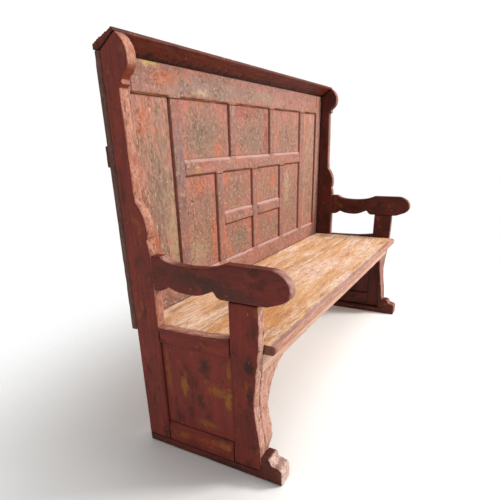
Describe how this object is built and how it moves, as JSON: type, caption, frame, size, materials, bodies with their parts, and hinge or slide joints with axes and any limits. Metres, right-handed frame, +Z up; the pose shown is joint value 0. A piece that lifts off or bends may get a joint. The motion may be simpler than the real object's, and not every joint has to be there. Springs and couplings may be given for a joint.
{
  "type": "monks bench",
  "caption": "Long joined settle with tall panelled back under a sloping capping board, eared posts, scrolled arms, plank seat, shaped corner brackets and sled feet.",
  "frame": {"origin": "on the floor, at the middle of the length and depth", "axes": "+X along the bench, +Y towards the back, +Z up"},
  "size_m": [1.6, 0.545, 1.202],
  "materials": {
    "seat_pine": "bare old pine, oiled and worn",
    "dark_painted_wood": "dark red-brown paint, worn through",
    "pink_painted_wood": "old salmon pink paint, worn and dirty",
    "panel_painted_wood": "old salmon pink paint, crackled to tan",
    "bare_frame_wood": "bare rough-sawn wood",
    "peg_wood": "painted wood pegs"
  },
  "bodies": {
    "root": {"back_bottom_rail": "pink_painted_wood", "back_mid_rail": "pink_painted_wood", "back_pegs": "peg_wood", "back_top_rail": "pink_painted_wood", "capping_board": "dark_painted_wood", "centre_muntin": "pink_painted_wood", "centre_seat_bearer": "bare_frame_wood", "front_seat_board": "seat_pine", "left_arm": "dark_painted_wood", "left_back_stile": "pink_painted_wood", "left_bottom_rail": "dark_painted_wood", "left_corner_bracket": "pink_painted_wood", "left_end_panel": "dark_painted_wood", "left_end_pegs": "peg_wood", "left_front_post": "dark_painted_wood", "left_long_muntin": "pink_painted_wood", "left_lower_muntin": "pink_painted_wood", "left_narrow_panel": "panel_painted_wood", "left_rear_post": "dark_painted_wood", "left_seat_bearer": "bare_frame_wood", "left_short_rail": "pink_painted_wood", "left_side_rail": "dark_painted_wood", "left_sled_foot": "dark_painted_wood", "left_small_lower_panel": "panel_painted_wood", "left_small_upper_panel": "panel_painted_wood", "left_tall_panel": "panel_painted_wood", "left_upper_muntin": "pink_painted_wood", "left_upper_panel": "panel_painted_wood", "rear_batten": "dark_painted_wood", "rear_seat_board": "seat_pine", "right_arm": "dark_painted_wood", "right_back_stile": "pink_painted_wood", "right_bottom_rail": "dark_painted_wood", "right_corner_bracket": "pink_painted_wood", "right_end_panel": "dark_painted_wood", "right_end_pegs": "peg_wood", "right_front_post": "dark_painted_wood", "right_long_muntin": "pink_painted_wood", "right_lower_muntin": "pink_painted_wood", "right_narrow_panel": "panel_painted_wood", "right_rear_post": "dark_painted_wood", "right_seat_bearer": "bare_frame_wood", "right_short_rail": "pink_painted_wood", "right_side_rail": "dark_painted_wood", "right_sled_foot": "dark_painted_wood", "right_small_lower_panel": "panel_painted_wood", "right_small_upper_panel": "panel_painted_wood", "right_tall_panel": "panel_painted_wood", "right_upper_muntin": "pink_painted_wood", "right_upper_panel": "panel_painted_wood", "seat_apron": "pink_painted_wood", "seat_rear_rail": "bare_frame_wood", "upper_centre_panel": "panel_painted_wood"}
  },
  "joints": []
}
